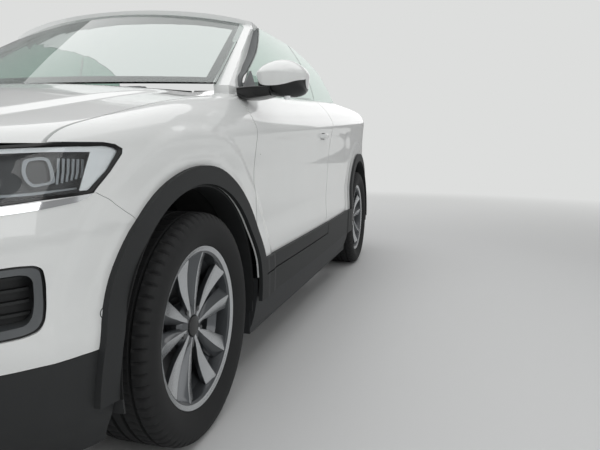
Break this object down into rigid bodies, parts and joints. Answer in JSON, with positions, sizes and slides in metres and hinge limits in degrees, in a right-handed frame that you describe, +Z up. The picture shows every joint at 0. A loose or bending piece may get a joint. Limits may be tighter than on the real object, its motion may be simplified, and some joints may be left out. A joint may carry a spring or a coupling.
{
  "type": "compact crossover convertible car",
  "caption": "Compact crossover convertible with a folded fabric top, raised side windows, opening doors and lids, steered front wheels and free-rolling wheels.",
  "frame": {"origin": "on the ground under the centre of the car", "axes": "+Z up, front of the car towards -Y, the car's left towards +X"},
  "size_m": [2.048, 4.2693, 1.4719],
  "materials": {
    "white_paint": "clear-coated gloss",
    "black_plastic": "fine grained",
    "side_glass": "tinted",
    "screen_glass": "clear laminated",
    "lamp_glass": "clear cover",
    "tail_lamp_red": "smoked red cover",
    "gloss_black": "gloss",
    "silver_frame": "satin",
    "alloy": "machined and painted",
    "tyre_rubber": "matte",
    "seat_fabric": "woven",
    "top_fabric": "woven",
    "cabin_plastic": "grained",
    "body_steel": "primer and sealer",
    "chassis_steel": "black coated",
    "exhaust_steel": "dull",
    "liner_felt": "rough"
  },
  "bodies": {
    "body": {"body_shell": "body_steel", "front_fenders": "white_paint", "headlamps": "lamp_glass", "front_bumper": "white_paint", "fog_lamp_frames": "silver_frame", "front_valance": "black_plastic", "grilles": "gloss_black", "quarter_panels": "white_paint", "tail_lamps": "tail_lamp_red", "rear_bumper": "white_paint", "rear_valance": "black_plastic", "rear_deck": "white_paint", "side_cladding": "black_plastic", "windscreen_frame": "white_paint", "windscreen": "screen_glass", "cowl_panel": "black_plastic", "quarter_glasses": "side_glass", "folded_top": "top_fabric", "dashboard": "cabin_plastic", "centre_console": "cabin_plastic", "front_seats": "seat_fabric", "seat_frames": "chassis_steel", "rear_bench": "seat_fabric", "arch_liners": "liner_felt", "engine_block": "chassis_steel", "front_subframe": "chassis_steel", "rear_axle": "chassis_steel", "exhaust": "exhaust_steel", "fuel_tank": "cabin_plastic", "steering_column": "cabin_plastic"},
    "bonnet": {"bonnet": "white_paint"},
    "boot_lid": {"boot_lid": "white_paint"},
    "steering_wheel": {"steering_wheel": "cabin_plastic"},
    "door_left": {"door_left": "white_paint", "door_trim_left": "black_plastic", "door_glass_left": "side_glass", "mirror_left": "white_paint"},
    "knuckle_left": {"knuckle_left": "chassis_steel"},
    "wheel_front_left": {"rim_front_left": "alloy", "tyre_front_left": "tyre_rubber"},
    "wheel_rear_left": {"rim_rear_left": "alloy", "tyre_rear_left": "tyre_rubber"},
    "door_right": {"door_right": "white_paint", "door_trim_right": "black_plastic", "door_glass_right": "side_glass", "mirror_right": "white_paint"},
    "knuckle_right": {"knuckle_right": "chassis_steel"},
    "wheel_front_right": {"rim_front_right": "alloy", "tyre_front_right": "tyre_rubber"},
    "wheel_rear_right": {"rim_rear_right": "alloy", "tyre_rear_right": "tyre_rubber"}
  },
  "joints": [
    {"name": "door_left_hinge", "type": "hinge", "parent": "body", "child": "door_left", "pos_m": [0.862, -0.815, 0.7], "axis": [0, 0, -1], "range_deg": [0, 65]},
    {"name": "door_right_hinge", "type": "hinge", "parent": "body", "child": "door_right", "pos_m": [-0.862, -0.815, 0.7], "axis": [0, 0, 1], "range_deg": [0, 65]},
    {"name": "bonnet_hinge", "type": "hinge", "parent": "body", "child": "bonnet", "pos_m": [0, -0.9, 1], "axis": [-1, 0, 0], "range_deg": [0, 50]},
    {"name": "boot_hinge", "type": "hinge", "parent": "body", "child": "boot_lid", "pos_m": [0, 1.515, 1.096], "axis": [1, 0, 0], "range_deg": [0, 75]},
    {"name": "steer_left", "type": "hinge", "parent": "body", "child": "knuckle_left", "pos_m": [0.72, -1.304, 0.23], "axis": [-0.2425, 0, 0.9701], "range_deg": [-35, 35]},
    {"name": "wheel_front_left_spin", "type": "hinge", "parent": "knuckle_left", "child": "wheel_front_left", "pos_m": [0.773, -1.304, 0.334], "axis": [1, 0, 0], "continuous": true},
    {"name": "wheel_rear_left_spin", "type": "hinge", "parent": "body", "child": "wheel_rear_left", "pos_m": [0.7705, 1.326, 0.334], "axis": [1, 0, 0], "continuous": true},
    {"name": "steer_right", "type": "hinge", "parent": "body", "child": "knuckle_right", "pos_m": [-0.72, -1.304, 0.23], "axis": [0.2425, 0, 0.9701], "range_deg": [-35, 35]},
    {"name": "wheel_front_right_spin", "type": "hinge", "parent": "knuckle_right", "child": "wheel_front_right", "pos_m": [-0.773, -1.304, 0.334], "axis": [1, 0, 0], "continuous": true},
    {"name": "wheel_rear_right_spin", "type": "hinge", "parent": "body", "child": "wheel_rear_right", "pos_m": [-0.7705, 1.326, 0.334], "axis": [1, 0, 0], "continuous": true},
    {"name": "steering_wheel_turn", "type": "hinge", "parent": "body", "child": "steering_wheel", "pos_m": [0.37, -0.56, 0.86], "axis": [0, 0.9135, 0.4067], "range_deg": [-490, 490]}
  ],
  "couplings": [
    {"joint": "steer_right", "follows": "steer_left", "ratio": 1},
    {"joint": "steering_wheel_turn", "follows": "steer_left", "ratio": 14}
  ]
}
